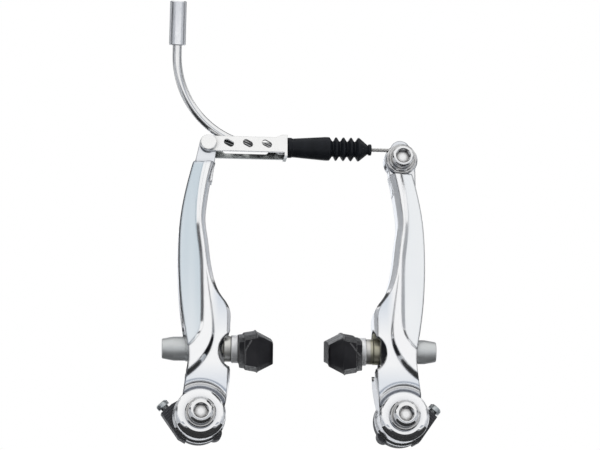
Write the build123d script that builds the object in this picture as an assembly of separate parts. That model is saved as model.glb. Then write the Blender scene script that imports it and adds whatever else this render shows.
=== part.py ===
from build123d import *
import os
from math import cos, hypot, pi, radians, sin, sqrt

os.makedirs("parts", exist_ok=True)

# Frame: X to the right, Y away from the viewer, Z up. The origin is halfway between the two
# frame bosses, on the plane where the bushes stand. Everything in front has a negative Y.

# Main sizes, in millimetres
BOSS_SPACING = 80.0  # between the two pivot axes, the usual boss spacing
LINK_HEIGHT = 109.5  # pivot axis to the cable line
PAD_HEIGHT = 26.4  # pivot axis to the pad post
MID_Y = -12.0  # the depth of the cable line and of the pad posts
ARM_REAR_Y = -6.8  # flat back of the arms
HEAD_X = 2.2  # link pin, inboard of the pivot

# Clearances
RUN = 0.05  # turning fits, on the radius
BALL = 0.12  # between a dome washer and its cup
SEAT = 0.02  # pieces fixed to each other, on the radius
GAP = 0.3  # pieces that only pass each other

# Pivot stack
BUSH_R = 5.0
BUSH_LENGTH = 18.4
BOSS_BORE_R = 4.17  # over the 8 mm frame boss
BARREL_FRONT_Y = -18.2
BARREL_FACE_R = 8.3
BARREL_R = 10.0
FLANGE_R = 10.5
FLANGE_THICK = 2.0
WASHER_R = 6.1
WASHER_THICK = 1.8
BOLT_R = 3.0  # M6
BOLT_NECK_R = 3.4
BOLT_HEAD_R = 4.95
BOLT_HEAD_H = 4.0
BOLT_TIP_Y = 3.0
HEX_KEY = 5.0  # across the flats

# Arm outline on its front face: inboard of the pivot in millimetres, and up from it in hundredths
# of the link height
OUTER_EDGE = [(-2.9, 94.9), (-6.1, 83.2), (-8.1, 72.4), (-8.8, 60.7), (-8.5, 48.6), (-7.4, 37.4)]
OUTER_EDGE += [(-5.8, 28), (-4.9, 22), (-5.3, 14.5), (-6.3, 7.5), (-7.3, 1.9)]
INNER_EDGE = [(4.0, 94.9), (1.7, 86.4), (0.1, 77), (-0.35, 71), (0.6, 64.5), (1.7, 56.5)]
INNER_EDGE += [(3.4, 48.9), (5.7, 43.9), (8.4, 40.4), (9.7, 37.4), (9.8, 33.2), (9.75, 26.2)]
INNER_EDGE += [(9.8, 17.8), (9.5, 11.2), (8.3, 4.7), (7.6, 1.9)]
OUTER_BEVEL = 0.5
INNER_BEVEL = 1.7
BEVEL_DEPTH = 3.2
FRONT_TOP = (-17.0, 101.0)  # depth and height of the front face at its top
FRONT_LOW = (-20.6, 12.0)  # the same at its foot
PANEL_EDGE = [(2.3, 97.2), (-0.3, 88.3), (-1.4, 81.3), (-1.9, 73.8), (-1.6, 66.8), (-0.5, 58.9)]
PANEL_EDGE += [(0.1, 46.7), (0.2, 34.6), (-0.7, 29.3), (-2.4, 26.7), (-6.2, 23.2)]
PANEL_DEPTH = 0.9
PANEL_WALL = 1.5
CREASE = [(1.2, 56.1), (2.6, 46.7), (3.9, 39.3), (4.8, 33.2), (4.9, 27.1), (4.0, 23.9), (2.4, 20.7)]
CREASE += [(-0.6, 16.8), (-4.0, 13.9), (-9.5, 10.3)]
BASE_TOP = (-18.75, 58.0)  # depth and height of the lower front face at its top
BASE_LOW = (-18.8, 13.0)
ROLL_R = 3.6  # the lower front face rolls back above the pivot barrel
LEFT_STEP = 7.6  # the front face ends this far below the link pin
RIGHT_STEP = 10.8  # and this far below the cable on the other arm

# Heads of the arms
TONGUE_THICK = 6.0
HEAD_ROOT = 8.0  # the thin head runs down into the arm by this much
EYE_R = 3.5
LINK_PIN_R = 2.2
CLAMP_X = -0.6
CLAMP_DROP = 3.9  # clamp bolt below the cable
CLAMP_EYE_R = 4.1
CLAMP_EYE_X = -0.3  # the nose that guides the cable
CLAMP_HEAD_R = 4.3
CLAMP_HEAD_H = 4.2
LUG_R = 6.7
LUG_FACE_Y = -12.1

# Pad seat and pad hardware, along the post
POST_R = 3.0
SLOT_HALF = 3.65
SLOT_RISE = 4.2  # half of the height adjustment
SLOT_DROP = 1.8  # the slot's middle is this far below the post
SEAT_IN_X = 9.2
SEAT_OUT_X = 1.0
SEAT_R = 6.1
SCOOP_R = 11.0  # a scoop in the inner front edge shows the seat
SCOOP_X = 15.0
SCOOP_Y = -26.0
CUP_THICK = 2.3
CUP_R = 5.1
DOME_SPHERE_R = 8.0
PAD_BACK_X = {"left": 14.9, "right": 17.1}
SPACER_THICK = 2.8
SPACER_R = 5.5
NUT_END_R = 3.95
NUT_R = 4.75
NUT_LENGTH = 9.3
OUTER_DOME_THICK = {"left": 4.5, "right": 2.9}
PAD_TOE = {"left": 3.0, "right": -4.0}  # far end inboard is positive, set on the ball washers
PAD_TILT = 12.5  # far end up, turned about the post
PAD_LENGTH = 55.0
PAD_DEPTH = 13.0
PAD_BACK_HALF = 6.1
PAD_WIDE_HALF = 7.3
PAD_FACE_HALF = 4.1
PAD_WIDE_AT = 6.8
PAD_SAG = 0.9
PLATE_THICK = 2.0

# Spring housing, spring and tension screw
HOUSING_FRONT_Y = -6.4
HOUSING_REAR_Y = -0.4
HOUSING_R = 10.3
HOUSING_FLOOR = 1.0
CAVITY_R = 8.7
HUB_R = 6.2
SPRING_WIRE_R = 0.75
SPRING_COIL_R = 7.4
SPRING_PITCH = 1.6
SPRING_TURNS = 2
SPRING_LIFT = 8.0  # the leg leaves the coil over this height
SPRING_BENDS = [(0.6, 39), (-2.6, 56)]  # the leg stays behind the arm, placed as its outline is
SPRING_BEND_R = 9.0
STOP_Z = 80.0  # hundredths of the link height
STOP_X = -1.3
STOP_R = 1.25
STOP_HEAD_R = 2.2
LOBE = [(-14.8, 1.6), (-10.7, 5.2), (-7.2, 7.2), (0, 0), (-5.2, -9.7), (-7.9, -8.2)]
ANCHOR_X = 6.3
ANCHOR_Z = -6.1
ANCHOR_R = 1.25
ANCHOR_STEP = 0.45  # the pin is thicker inside the housing
ANCHOR_LOBE_R = 2.9
ANCHOR_TIP_Y = 5.0
SCREW_R = 1.5  # M3
SCREW_HEAD_R = 2.55
SCREW_HEAD_H = 2.0
SCREW_STANDOFF = 1.3
SCREW_DEPTH = 4.4

# Link
LINK_SHEET = 1.2
LINK_GAP = 6.4
LINK_HALF = 3.05
LINK_DROP = 0.9  # the rear plate and its window sit lower
LINK_WALL_X = -6.0  # outer face of the end wall
LINK_HOLES = 3
LINK_HOLE_PITCH = 7.65
LINK_HOLE_LONG = 4.2
LINK_HOLE_WIDE = 2.4
LINK_HOLE_TURN = -28.0
PIN_HEAD_R = 3.3
PIN_HEAD_H = 1.4

# Noodle, boot and cable
TUBE_R = 1.8
TUBE_BORE_R = 1.25
LINER_BORE_R = 0.95
NOODLE_BEND = 36.5
NOODLE_RISER_X = -51.2
NOODLE_LEAN = 20.0  # it leans forward on the link's front plate
HEAD_START = 40.0
HEAD_LENGTH = 17.6
HEAD_R = 3.3
HOUSING_BORE_R = 2.55  # takes 5 mm cable housing
HOUSING_BORE_DEPTH = 12.0
NOSE_OUT = 10.0  # the nose stands out of the link by this much
COLLAR_R = 2.9
BOOT_LENGTH = 34.1
CABLE_R = 0.75
CABLE_START_X = 1.5
CABLE_END_X = 43.5

# Values that follow from the sizes above
HALF = BOSS_SPACING / 2
ARM_SCALE = LINK_HEIGHT / 100
BUSH_FRONT_Y = -BUSH_LENGTH
WASHER_FRONT_Y = BUSH_FRONT_Y - WASHER_THICK
CLAMP_Z = LINK_HEIGHT - CLAMP_DROP
LINK_PIN_X = -HALF + HEAD_X
BEND_START_X = NOODLE_RISER_X + NOODLE_BEND
NOSE_TIP_X = LINK_WALL_X + NOSE_OUT


def cyl_y(r, y0, y1, x=0.0, z=0.0):
    """A round bar along Y from y0 to y1."""
    return Pos(x, (y0 + y1) / 2, z) * Rot(90, 0, 0) * Cylinder(r, abs(y1 - y0))


def cyl_x(r, x0, x1):
    """A round bar along X from x0 to x1."""
    return Pos((x0 + x1) / 2, 0, 0) * Rot(0, 90, 0) * Cylinder(r, abs(x1 - x0))


def turned_y(points):
    """A turned piece about Y from (radius, y) points."""
    return revolve(make_face(Polyline(*points, close=True)), Axis.Y)


def turned_x(points):
    """A turned piece about X from (x, radius) points."""
    return revolve(make_face(Polyline(*points, close=True)), Axis.X)


def block(x0, x1, y0, y1, z0, z1):
    return Pos((x0 + x1) / 2, (y0 + y1) / 2, (z0 + z1) / 2) * Box(x1 - x0, y1 - y0, z1 - z0)


def at_depth(face, y0, y1):
    """A flat shape drawn in X and Z, made solid from y0 to y1 in front of it."""
    return extrude(Plane.XZ.offset(-y0) * face, amount=y0 - y1)


def place(piece, side):
    """From the pivot's own frame, inboard +X, to the assembly."""
    if side == "left":
        return Pos(-HALF, 0, 0) * piece
    return Pos(HALF, 0, 0) * mirror(piece, about=Plane.YZ)


def scaled(points, dx=0.0, dz=0.0):
    return [(x + dx, z * ARM_SCALE + dz) for x, z in points]


def sloping_plane(low, top):
    """The plane that runs from low to top, each a depth and a height, facing the viewer."""
    rise = top[1] - low[1]
    back = top[0] - low[0]
    return Plane(origin=(0, low[0], low[1]), x_dir=(1, 0, 0), z_dir=(0, -rise, back))


def on_plane(points, low):
    return [(x, z - low[1]) for x, z in points]


def outline(outer, inner):
    """A closed shape between two edge curves that both start at the top."""
    left = Spline(*outer)
    right = Spline(*inner)
    top = Line(left @ 0, right @ 0)
    foot = Line(left @ 1, right @ 1)
    return make_face([left, foot, right, top])


def arm_blank():
    plane = sloping_plane(FRONT_LOW, FRONT_TOP)
    front = outline(on_plane(scaled(OUTER_EDGE), FRONT_LOW), on_plane(scaled(INNER_EDGE), FRONT_LOW))
    outer = on_plane(scaled(OUTER_EDGE, -OUTER_BEVEL), FRONT_LOW)
    inner = on_plane(scaled(INNER_EDGE, INNER_BEVEL), FRONT_LOW)
    full = outline(outer, inner)
    behind = plane.offset(-BEVEL_DEPTH)
    blank = loft([plane * front, behind * full], ruled=True)
    blank += extrude(behind * full, amount=-20)
    return blank - block(-60, 60, ARM_REAR_Y, 40, -20, LINK_HEIGHT + 40)


def panel_cut():
    """The long flat panel beside the outer edge."""
    plane = sloping_plane(FRONT_LOW, FRONT_TOP)
    edge = on_plane(scaled(PANEL_EDGE), FRONT_LOW)
    faces = []
    for lift, shift in ((-PANEL_DEPTH, -PANEL_WALL / 2), (PANEL_DEPTH, 1.5 * PANEL_WALL)):
        side = Spline(*[(x + shift, z + shift * 0.4) for x, z in edge])
        corner = (side @ 0).X - 30, (side @ 0).Y
        foot = (side @ 1).X - 30, (side @ 1).Y
        rim = Polyline((side @ 1), foot, corner, (side @ 0))
        faces.append(plane.offset(lift) * make_face([side, rim]))
    return loft(faces, ruled=True)


def base_cut():
    """The lower front face, stepped back from the ridge."""
    plane = sloping_plane(BASE_LOW, BASE_TOP)
    edge = on_plane(scaled(CREASE), BASE_LOW)
    faces = []
    for lift, dx, dz in ((0, 0, 0), (6, -5.0, 5.0)):
        side = Spline(*[(x + dx, z + dz) for x, z in edge])
        foot = (side @ 1).X, (side @ 1).Y - 30
        right = 40, (side @ 1).Y - 30
        corner = 40, (side @ 0).Y
        rim = Polyline((side @ 1), foot, right, corner, (side @ 0))
        faces.append(plane.offset(lift) * make_face([side, rim]))
    return loft(faces, ruled=True)


def roll_cut():
    """Rolls the lower front face back around the barrel's shoulder."""
    r0 = BARREL_R + 0.1
    y1 = BASE_LOW[0]
    centre = (r0 + ROLL_R, y1 + ROLL_R)
    mid = (centre[0] - ROLL_R * cos(radians(45)), centre[1] - ROLL_R * sin(radians(45)))
    curve = ThreePointArc((r0, centre[1]), mid, (centre[0], y1))
    rest = Polyline((centre[0], y1), (centre[0], y1 - 9), (0, y1 - 9), (0, centre[1]), (r0, centre[1]))
    return revolve(make_face([curve, rest]), Axis.Y)


def barrel():
    """The pivot barrel, with a rounded front shoulder and a rear flange."""
    round_r = BARREL_R - BARREL_FACE_R
    shoulder_y = BARREL_FRONT_Y + round_r
    mid = (BARREL_FACE_R + round_r * sin(radians(45)), shoulder_y - round_r * cos(radians(45)))
    curve = ThreePointArc((BARREL_FACE_R, BARREL_FRONT_Y), mid, (BARREL_R, shoulder_y))
    flange_y = ARM_REAR_Y - FLANGE_THICK
    rest = Polyline(
        (BARREL_R, shoulder_y),
        (BARREL_R, flange_y - (FLANGE_R - BARREL_R)),
        (FLANGE_R, flange_y),
        (FLANGE_R, ARM_REAR_Y),
        (0, ARM_REAR_Y),
        (0, BARREL_FRONT_Y),
        (BARREL_FACE_R, BARREL_FRONT_Y),
    )
    return revolve(make_face([curve, rest]), Axis.Y)


def pad_slot(x0, x1, half):
    """A slot along X at the pad post, from x0 to x1."""
    shape = SlotCenterToCenter(2 * SLOT_RISE, 2 * half, rotation=90)
    where = Plane(origin=(x0, MID_Y, PAD_HEIGHT - SLOT_DROP), x_dir=(0, 1, 0), z_dir=(1, 0, 0))
    return extrude(where * shape, amount=x1 - x0)


def step_height(side):
    """Where the front face ends and the thin head begins."""
    return LINK_HEIGHT - (LEFT_STEP if side == "left" else RIGHT_STEP)


def head_blank(side):
    """The thin head above the front face."""
    z0 = step_height(side) - HEAD_ROOT
    if side == "left":
        front = MID_Y - TONGUE_THICK / 2
        rear = MID_Y + TONGUE_THICK / 2
        a = radians(12)
        left = (HEAD_X - EYE_R * cos(a), LINK_HEIGHT + EYE_R * sin(a))
        right = (HEAD_X + EYE_R * cos(a), LINK_HEIGHT - EYE_R * sin(a))
        shape = make_face(Polyline((-4.8, z0), left, right, (3.9, z0), close=True))
        shape += Pos(HEAD_X, LINK_HEIGHT) * Circle(EYE_R)
        return at_depth(shape, rear, front)
    wide = LUG_R - 1
    left = (CLAMP_X - wide, CLAMP_Z)
    right = (CLAMP_X + wide, CLAMP_Z)
    shape = make_face(Polyline((-6.4, z0), left, right, (2.9, z0), close=True))
    shape += Pos(CLAMP_X, CLAMP_Z) * Circle(LUG_R)
    shape += Pos(CLAMP_EYE_X, LINK_HEIGHT) * Circle(CLAMP_EYE_R)
    return at_depth(shape, ARM_REAR_Y, LUG_FACE_Y)


def arm(side):
    step_z = step_height(side)
    body = arm_blank() - panel_cut() - base_cut()
    body -= block(-40, 40, -40, 10, step_z, LINK_HEIGHT + 40)
    body -= roll_cut()
    body += barrel()
    body += head_blank(side)
    body -= cyl_y(BUSH_R + RUN, -40, 10)
    body -= pad_slot(-40, 40, SLOT_HALF)
    body -= pad_slot(SEAT_IN_X, SEAT_IN_X + 12, SEAT_R)
    body -= pad_slot(SEAT_OUT_X, SEAT_OUT_X - 12, SEAT_R)
    body -= Pos(SCOOP_X, SCOOP_Y, PAD_HEIGHT - SLOT_DROP) * Sphere(SCOOP_R)
    body -= cyl_y(STOP_R + SEAT, ARM_REAR_Y - 4, ARM_REAR_Y + 1, STOP_X, STOP_Z * ARM_SCALE)
    if side == "left":
        body -= cyl_y(LINK_PIN_R + SEAT, -30, 10, HEAD_X, LINK_HEIGHT)
    else:
        body -= cyl_y(BOLT_R + SEAT, -30, 10, CLAMP_X, CLAMP_Z)
        groove = Pos(0, MID_Y, LINK_HEIGHT) * cyl_x(CABLE_R + RUN, -20, 20)
        body -= groove
    return body


def hex_bolt(head_r, head_h, socket, neck_r, neck, shank_r, length):
    """A round-headed socket bolt pointing to +Y, with its seat at y = 0."""
    round_r = min(0.42 * head_h, head_r - socket / sqrt(3) - 0.5)
    lip = round_r * (1 - cos(radians(45)))
    top = (head_r - round_r, -head_h)
    curve = ThreePointArc(top, (head_r - lip, -head_h + lip), (head_r, -head_h + round_r))
    points = [curve @ 1, (head_r, 0), (neck_r, 0), (neck_r, neck), (shank_r, neck + neck_r - shank_r)]
    points += [(shank_r, length - 0.6), (shank_r - 0.6, length), (0, length), (0, -head_h), top]
    bolt = revolve(make_face([curve, Polyline(*points)]), Axis.Y)
    hexagon = RegularPolygon(socket / 2, 6, major_radius=False)
    bolt -= at_depth(hexagon, -head_h + 0.62 * head_h, -head_h - 1)
    rim = socket / sqrt(3) + 0.15
    mouth = [(0, -head_h - 0.01), (rim, -head_h - 0.01), (rim - 0.3, -head_h + 0.3), (0, -head_h + 0.3)]
    bolt -= turned_y(mouth)
    return bolt


def pivot_bolt():
    reach = BOLT_TIP_Y - WASHER_FRONT_Y
    bolt = hex_bolt(BOLT_HEAD_R, BOLT_HEAD_H, HEX_KEY, BOLT_NECK_R, WASHER_THICK + 0.4, BOLT_R, reach)
    return Pos(0, WASHER_FRONT_Y, 0) * bolt


def bolt_washer():
    y0, y1 = BUSH_FRONT_Y, WASHER_FRONT_Y
    hole = BOLT_NECK_R + RUN
    return turned_y([(hole, y0), (WASHER_R, y0), (WASHER_R, y1 + 0.4), (WASHER_R - 0.4, y1), (hole, y1)])


def pivot_bush():
    return cyl_y(BUSH_R, 0, BUSH_FRONT_Y) - cyl_y(BOSS_BORE_R, 1, BUSH_FRONT_Y - 1)


def screw_line():
    """The tension screw's entry point and its outward direction in X and Z."""
    (x0, z0), (x1, z1) = LOBE[0], LOBE[1]
    long = hypot(x1 - x0, z1 - z0)
    return (x0 + x1) / 2, (z0 + z1) / 2, -(z1 - z0) / long, (x1 - x0) / long


def along_screw(piece):
    """Puts a piece built along +Z, entry at z = 0, onto the tension screw's line."""
    x, z, dx, dz = screw_line()
    y = (HOUSING_FRONT_Y + HOUSING_REAR_Y) / 2
    return Plane(origin=(x, y, z), x_dir=(0, 1, 0), z_dir=(dx, 0, dz)) * piece


def spring_housing():
    shape = Circle(HOUSING_R) + make_face(Polyline(*LOBE, close=True))
    shape += Pos(ANCHOR_X, ANCHOR_Z) * Circle(ANCHOR_LOBE_R)
    body = at_depth(shape, HOUSING_REAR_Y, HOUSING_FRONT_Y)
    floor_y = HOUSING_REAR_Y - HOUSING_FLOOR
    body -= cyl_y(CAVITY_R, floor_y, HOUSING_FRONT_Y - 1) - cyl_y(HUB_R, 5, -20)
    body -= cyl_y(BUSH_R + SEAT, 5, -20)
    leg = spring_leg_start()
    notch = SPRING_WIRE_R + 0.7
    x0 = leg[0] - notch - 0.6
    x1 = leg[0] + notch
    body -= block(x0, x1, HOUSING_FRONT_Y - 1, leg[1] + notch, 2.5, HOUSING_R + 2)
    body -= cyl_y(ANCHOR_R + ANCHOR_STEP + SEAT, 5, floor_y - 0.1, ANCHOR_X, ANCHOR_Z)
    deep = Pos(0, 0, -SCREW_DEPTH / 2) * Cylinder(SCREW_R + RUN, SCREW_DEPTH + 2 * GAP)
    body -= along_screw(deep)
    return body


def spring_leg_start():
    y = HOUSING_REAR_Y - HOUSING_FLOOR - SPRING_WIRE_R - 0.1 - SPRING_PITCH * SPRING_TURNS
    return SPRING_COIL_R, y, 0.0


def return_spring():
    """A short tail, the coil and the leg, as one wire of tangent arcs and lines."""
    r, y, z = spring_leg_start()
    slope = SPRING_PITCH / (2 * pi * r)
    points = []
    for i in range(4 * SPRING_TURNS + 1):
        a = radians(90 * i)
        points.append((r * cos(a), y + SPRING_PITCH * (SPRING_TURNS - i / 4), r * sin(a)))
    edges = [Line((r, points[0][1] + 2.2 * slope, -2.2), points[0])]
    leg_y = y - slope * SPRING_LIFT / 2
    points.append((r, leg_y, SPRING_LIFT))
    for start, end in zip(points, points[1:]):
        edges.append(TangentArc(start, end, tangent=edges[-1] % 1))
    top_x = STOP_X + STOP_R + SPRING_WIRE_R + SEAT
    stop_z = STOP_Z * ARM_SCALE
    bends = [(r, SPRING_LIFT), (r, 1.5 * SPRING_LIFT)] + scaled(SPRING_BENDS)
    bends += [(top_x, stop_z - 6), (top_x, stop_z + 3)]
    leg = FilletPolyline(*[(px, leg_y, pz) for px, pz in bends], radius=SPRING_BEND_R)
    ring = Plane(origin=edges[0] @ 0, z_dir=edges[0] % 0) * Circle(SPRING_WIRE_R)
    return sweep(ring, path=Wire([*edges, *leg.edges()]))


def spring_stop():
    """The pin on the arm's back that the spring's leg pushes on."""
    leg_y = spring_leg_start()[1]
    flange_y = leg_y + SPRING_WIRE_R + 0.1
    pin = cyl_y(STOP_R, ARM_REAR_Y - 4 + SEAT, flange_y + 0.4)
    pin += cyl_y(STOP_HEAD_R, flange_y, flange_y + 0.8)
    return Pos(STOP_X, 0, STOP_Z * ARM_SCALE) * pin


def anchor_pin():
    """Locates the housing in the frame's spring hole, with its head in the housing's floor."""
    y0 = HOUSING_REAR_Y - HOUSING_FLOOR
    y1 = HOUSING_REAR_Y
    y2 = ANCHOR_TIP_Y
    shank = ANCHOR_R + ANCHOR_STEP
    points = [(0, y0), (shank, y0), (shank, y1), (ANCHOR_R, y1)]
    points += [(ANCHOR_R, y2 - 0.4), (ANCHOR_R - 0.4, y2), (0, y2)]
    return Pos(ANCHOR_X, 0, ANCHOR_Z) * turned_y(points)


def tension_screw():
    z0 = SCREW_STANDOFF
    z1 = z0 + SCREW_HEAD_H
    edge = 0.5
    face = Polyline(
        (0, -SCREW_DEPTH),
        (SCREW_R - 0.4, -SCREW_DEPTH),
        (SCREW_R, -SCREW_DEPTH + 0.4),
        (SCREW_R, z0),
        (SCREW_HEAD_R, z0),
        (SCREW_HEAD_R, z1 - edge),
        (SCREW_HEAD_R - edge, z1),
        (0, z1),
        close=True,
    )
    screw = revolve(Plane.XZ * make_face(face), Axis.Z)
    for turn in (0, 90):
        screw -= Pos(0, 0, z1) * Rot(0, 0, turn) * Box(3.2, 0.8, 1.8)
    return along_screw(screw)


# Pad hardware is built along X about its own post, with x counted as in the arm


def toed(piece, side):
    """Turns what the post carries by the toe angle, about the middle of the arm's web."""
    centre_x = (SEAT_IN_X + SEAT_OUT_X) / 2
    turn = Pos(centre_x, 0, 0) * Rot(0, 0, -PAD_TOE[side]) * Pos(-centre_x, 0, 0)
    return Pos(0, MID_Y, PAD_HEIGHT) * turn * piece


def cup_shift(sphere_x, side):
    """Where a cup washer slides so that its hollow stays on the dome's centre."""
    centre_x = (SEAT_IN_X + SEAT_OUT_X) / 2
    return -(sphere_x - centre_x) * sin(radians(PAD_TOE[side]))


def inner_dome_back(side):
    return PAD_BACK_X[side] - SPACER_THICK - SEAT


def inner_sphere_x():
    """Centre of the inner ball seat, on the pad's side."""
    return SEAT_IN_X + 0.7 + DOME_SPHERE_R


def outer_sphere_x():
    return SEAT_OUT_X - 0.7 - DOME_SPHERE_R


def washer_hole():
    """Wide enough for the post at the largest toe angle."""
    return POST_R + 0.95


def ball_x(sphere_x, sign, ball_r, r):
    """Where a ball seat's surface lies at radius r, on its side towards the arm."""
    return sphere_x - sign * sqrt(ball_r**2 - r**2)


def ball_curve(sphere_x, sign, ball_r, r0, r1):
    mid = (r0 + r1) / 2
    return ThreePointArc(*[(ball_x(sphere_x, sign, ball_r, r), r) for r in (r0, mid, r1)])


def cup_washer(seat_x, sphere_x, sign, side):
    ball_r = DOME_SPHERE_R + BALL
    rim_x = seat_x + sign * CUP_THICK
    rim_r = sqrt(ball_r**2 - (sphere_x - rim_x) ** 2)
    curve = ball_curve(sphere_x, sign, ball_r, washer_hole(), rim_r)
    rest = Polyline(curve @ 1, (rim_x, CUP_R), (seat_x, CUP_R), (seat_x, washer_hole()), curve @ 0)
    ring = revolve(make_face([curve, rest]), Axis.X)
    return Pos(0, MID_Y + cup_shift(sphere_x, side), PAD_HEIGHT) * ring


def dome_washer(back_x, sphere_x, sign, side):
    curve = ball_curve(sphere_x, sign, DOME_SPHERE_R, POST_R + SEAT, CUP_R - 0.1)
    rest = Polyline(curve @ 1, (back_x, CUP_R - 0.1), (back_x, POST_R + SEAT), curve @ 0)
    return toed(revolve(make_face([curve, rest]), Axis.X), side)


def pad_spacer(side):
    x1 = PAD_BACK_X[side]
    x0 = x1 - SPACER_THICK
    edge = 0.3
    points = [(x0, POST_R + SEAT), (x0, SPACER_R - edge), (x0 + edge, SPACER_R), (x1 - edge, SPACER_R)]
    points += [(x1, SPACER_R - edge), (x1, POST_R + SEAT)]
    return toed(turned_x(points), side)


def nut_start(side):
    return SEAT_OUT_X - CUP_THICK - OUTER_DOME_THICK[side]


def pad_nut(side):
    x0 = nut_start(side)
    x1 = x0 - NUT_LENGTH
    bend = x0 - 0.5 * NUT_LENGTH
    points = [(x0, 0), (x0, NUT_R), (bend, NUT_R), (x1 + 0.3, NUT_END_R), (x1, NUT_END_R - 0.3), (x1, 0)]
    nut = turned_x(points)
    nut -= cyl_x(POST_R + SEAT, x0 + 1, x0 - 5.6)
    key = RegularPolygon(HEX_KEY / 2, 6, major_radius=False)
    nut -= extrude(Plane(origin=(x1 - 1, 0, 0), x_dir=(0, 1, 0), z_dir=(1, 0, 0)) * key, amount=4.6)
    return toed(nut, side)


def pad_plane(side, s, rise=0.0):
    """A cross section of the pad at s along its length, drawn in depth and height."""
    return Plane(origin=(PAD_BACK_X[side], s, rise), x_dir=(1, 0, 0), z_dir=(0, -1, 0))


def pad_section(inset, u_inset):
    a = PAD_BACK_HALF - inset
    b = PAD_WIDE_HALF - inset
    c = PAD_FACE_HALF - inset
    u1 = PAD_DEPTH - u_inset
    u0 = 0.3 * u_inset
    points = [(u0, -a), (PAD_WIDE_AT, -b), (u1, -c), (u1, c), (PAD_WIDE_AT, b), (u0, a)]
    return make_face(Polyline(*points, close=True))


def pad(side):
    h = PAD_LENGTH / 2
    stations = [(-h, 2.1, 2.4), (-h + 4.2, 0, 0), (0, 0, 0), (h - 4.2, 0, 0), (h, 2.1, 2.4)]
    faces = []
    for s, inset, u_inset in stations:
        rise = -PAD_SAG * (s / h) ** 2
        faces.append(pad_plane(side, s, rise) * pad_section(inset, u_inset))
    body = loft(faces, ruled=True)
    x0 = PAD_BACK_X[side]
    for i in range(-1, 2):
        body -= block(x0 + PAD_DEPTH - 2.2, x0 + PAD_DEPTH + 1, i * 12 - 1, i * 12 + 1, -20, 20)
    body -= cyl_x(POST_R + SEAT, x0 - 1, x0 + 3)
    body -= pad_plate(side)
    return toed(Rot(PAD_TILT, 0, 0) * body, side)


def pad_plate(side):
    x0 = PAD_BACK_X[side] + 2.4
    return block(x0, x0 + PLATE_THICK, -0.36 * PAD_LENGTH, 0.36 * PAD_LENGTH, -4.4, 4.4)


def pad_post(side):
    x0 = nut_start(side) - 5.4
    x1 = PAD_BACK_X[side] + 2.4
    post = turned_x([(x0, 0), (x0, POST_R - 0.5), (x0 + 0.5, POST_R), (x1 + 0.5, POST_R), (x1 + 0.5, 0)])
    return toed(Rot(PAD_TILT, 0, 0) * (post + pad_plate(side)), side)


# The link, the noodle, the boot and the cable are built in the assembly's frame


def link():
    """One folded strip: a front plate, an end wall and a rear plate."""
    y_in = LINK_GAP / 2
    y_out = y_in + LINK_SHEET
    x0 = LINK_PIN_X
    x1 = LINK_WALL_X
    strip = Polyline((x0, -LINK_HALF), (x1, -LINK_HALF), (x1, LINK_HALF), (x0, LINK_HALF), close=True)
    plate = make_face(strip)
    plate += Pos(x0, 0) * Circle(LINK_HALF)
    top = LINK_HALF + 1.1
    flare = Polyline((x1 - 4.6, LINK_HALF), (x1 - 2.2, top), (x1, top), (x1, 0), (x1 - 4.6, 0), close=True)
    plate += make_face(flare)
    body = at_depth(plate, -y_in, -y_out)
    low = -LINK_HALF - LINK_DROP
    strip = Polyline((x0, -LINK_HALF), (x1, -LINK_HALF), (x1, low), (x0 + 2.5, low), close=True)
    body += at_depth(plate + make_face(strip), y_out, y_in)
    body += block(x1 - LINK_SHEET, x1, -y_out, y_out, -LINK_HALF - 1.6, LINK_HALF + 1.1)
    first = (x0 + x1) / 2 - 0.05 - LINK_HOLE_PITCH * (LINK_HOLES - 1) / 2
    for i in range(LINK_HOLES):
        oval = Pos(first + i * LINK_HOLE_PITCH, 0.25) * Rot(0, 0, LINK_HOLE_TURN)
        oval *= SlotOverall(LINK_HOLE_LONG, LINK_HOLE_WIDE)
        body -= at_depth(oval, -y_in + 0.5, -y_out - 1)
    window = Pos((x0 + x1) / 2 - 0.5, 0.1 - LINK_DROP) * SlotOverall(18.5, 2.6)
    body -= at_depth(window, y_out + 1, y_in - 0.5)
    body = Pos(0, MID_Y, LINK_HEIGHT) * body
    body -= cyl_y(LINK_PIN_R + RUN, -40, 10, LINK_PIN_X, LINK_HEIGHT)
    keyhole = cyl_x(TUBE_R + RUN, x1 - 3, x1 + 1) + block(x1 - 3, x1 + 1, -1.0, 1.0, 0, 12)
    return body - Pos(0, MID_Y, LINK_HEIGHT) * keyhole


def link_pin():
    """A rivet with a round front head and a peened rear head."""
    y_out = LINK_GAP / 2 + LINK_SHEET
    front = MID_Y - y_out - RUN
    rear = MID_Y + y_out + RUN
    r = PIN_HEAD_R
    h = PIN_HEAD_H
    points = [(0, front - h), (0.86 * r, front - h), (0.96 * r, front - 0.88 * h)]
    points += [(r, front - 0.6 * h), (r, front), (LINK_PIN_R, front), (LINK_PIN_R, rear)]
    points += [(LINK_PIN_R + 0.6, rear), (LINK_PIN_R + 0.3, rear + 0.7), (0, rear + 0.8)]
    return Pos(LINK_PIN_X, 0, LINK_HEIGHT) * turned_y(points)


def leaned(piece):
    """The noodle is built upright about the cable line, then leans forward on it."""
    return Pos(0, MID_Y, LINK_HEIGHT) * Rot(NOODLE_LEAN, 0, 0) * piece


def noodle_path(start_x, end_z):
    flat = Line((start_x, 0, 0), (BEND_START_X, 0, 0))
    a = radians(45)
    x, z = NOODLE_RISER_X, NOODLE_BEND
    mid = (BEND_START_X - NOODLE_BEND * sin(a), 0, NOODLE_BEND * (1 - cos(a)))
    bend = ThreePointArc((BEND_START_X, 0, 0), mid, (x, 0, z))
    riser = Line((x, 0, z), (x, 0, end_z))
    return Wire([flat, bend, riser])


def bent_pipe(r_out, r_in, start_x, end_z):
    path = noodle_path(start_x, end_z)
    ring = Plane(origin=(start_x, 0, 0), z_dir=(-1, 0, 0)) * (Circle(r_out) - Circle(r_in))
    return sweep(ring, path=path)


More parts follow.
